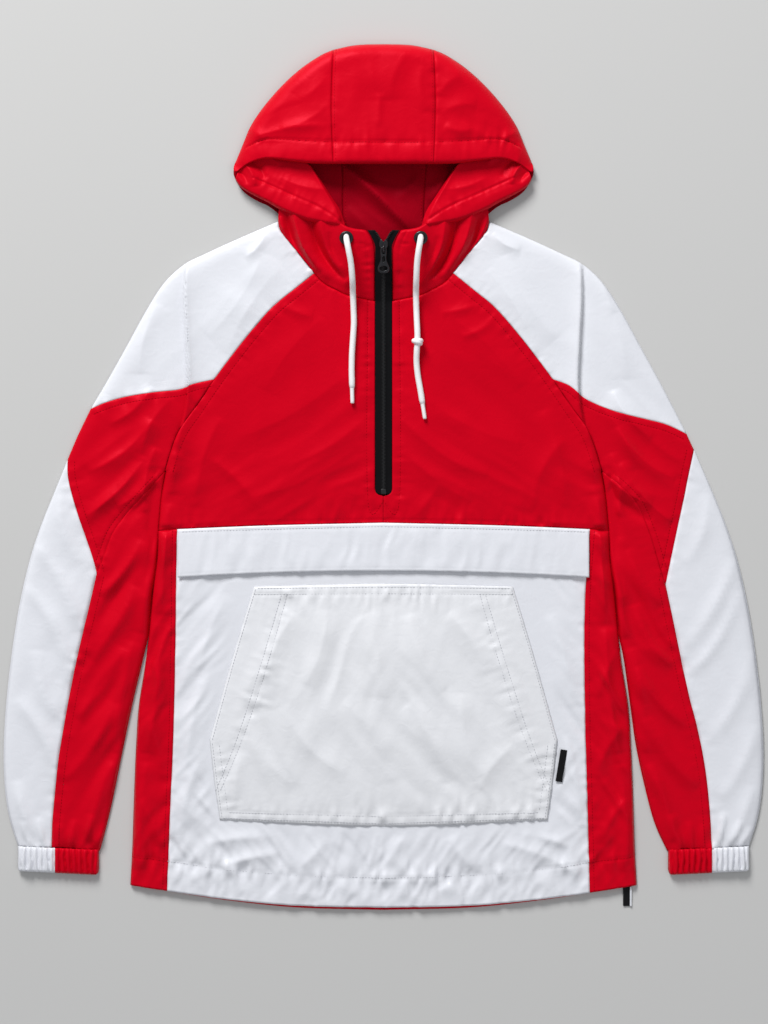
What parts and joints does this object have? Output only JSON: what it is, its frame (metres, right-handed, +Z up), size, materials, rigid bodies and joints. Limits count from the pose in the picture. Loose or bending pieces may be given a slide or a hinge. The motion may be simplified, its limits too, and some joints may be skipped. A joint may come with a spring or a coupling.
{
  "type": "anorak pullover",
  "caption": "Hooded pullover with a half zip, storm flap and front pouch pocket, raglan sleeves and gathered cuffs, laid flat on its back.",
  "frame": {"origin": "middle of the flat underside, where the back panel lies on the surface", "axes": "+Y from hem to hood, +Z up from the surface, +X towards the wearer's left sleeve, on the viewer's right"},
  "size_m": [0.8218, 0.9366, 0.0322],
  "materials": {
    "red_cloth": "satin",
    "white_cloth": "satin",
    "pocket_cloth": "satin",
    "zip_tape": "matte",
    "zip_chain": "satin",
    "black_metal": "satin",
    "cord": "matte",
    "label": "satin",
    "hem_tape": "matte"
  },
  "bodies": {
    "garment": {"back_body": "red_cloth", "collar_left": "red_cloth", "collar_right": "red_cloth", "cord_knot_right": "cord", "cord_tip_left": "cord", "cord_tip_right": "cord", "cuff_inner_back_left": "red_cloth", "cuff_inner_back_right": "red_cloth", "cuff_inner_front_left": "red_cloth", "cuff_inner_front_right": "red_cloth", "cuff_outer_back_left": "white_cloth", "cuff_outer_back_right": "white_cloth", "cuff_outer_front_left": "white_cloth", "cuff_outer_front_right": "white_cloth", "drawcord_left": "cord", "drawcord_right": "cord", "eyelet_left": "black_metal", "eyelet_right": "black_metal", "front_chest": "red_cloth", "front_lower": "white_cloth", "hem_tape": "hem_tape", "hood_back_left": "red_cloth", "hood_back_middle": "red_cloth", "hood_back_right": "red_cloth", "hood_crown_left": "red_cloth", "hood_crown_middle": "red_cloth", "hood_crown_right": "red_cloth", "hood_lip_left": "red_cloth", "hood_lip_right": "red_cloth", "pocket": "pocket_cloth", "pocket_label": "label", "side_front_left": "red_cloth", "side_front_right": "red_cloth", "sleeve_inner_back_left": "red_cloth", "sleeve_inner_back_right": "red_cloth", "sleeve_inner_front_left": "red_cloth", "sleeve_inner_front_right": "red_cloth", "sleeve_outer_back_left": "white_cloth", "sleeve_outer_back_right": "white_cloth", "sleeve_outer_front_left": "white_cloth", "sleeve_outer_front_right": "white_cloth", "sleeve_shoulder_back_left": "white_cloth", "sleeve_shoulder_back_right": "white_cloth", "sleeve_shoulder_front_left": "white_cloth", "sleeve_shoulder_front_right": "white_cloth", "sleeve_upper_back_left": "red_cloth", "sleeve_upper_back_right": "red_cloth", "sleeve_upper_front_left": "red_cloth", "sleeve_upper_front_right": "red_cloth", "storm_flap": "white_cloth", "zip_chain": "zip_chain", "zip_slider": "black_metal", "zip_tape_left": "zip_tape", "zip_tape_right": "zip_tape"},
    "zip_pull": {"zip_pull": "black_metal"}
  },
  "joints": [
    {"name": "pull_swing", "type": "hinge", "parent": "garment", "child": "zip_pull", "pos_m": [0, 0.24454, 0.02426], "axis": [-1, 0, 0], "range_deg": [0, 160]}
  ]
}
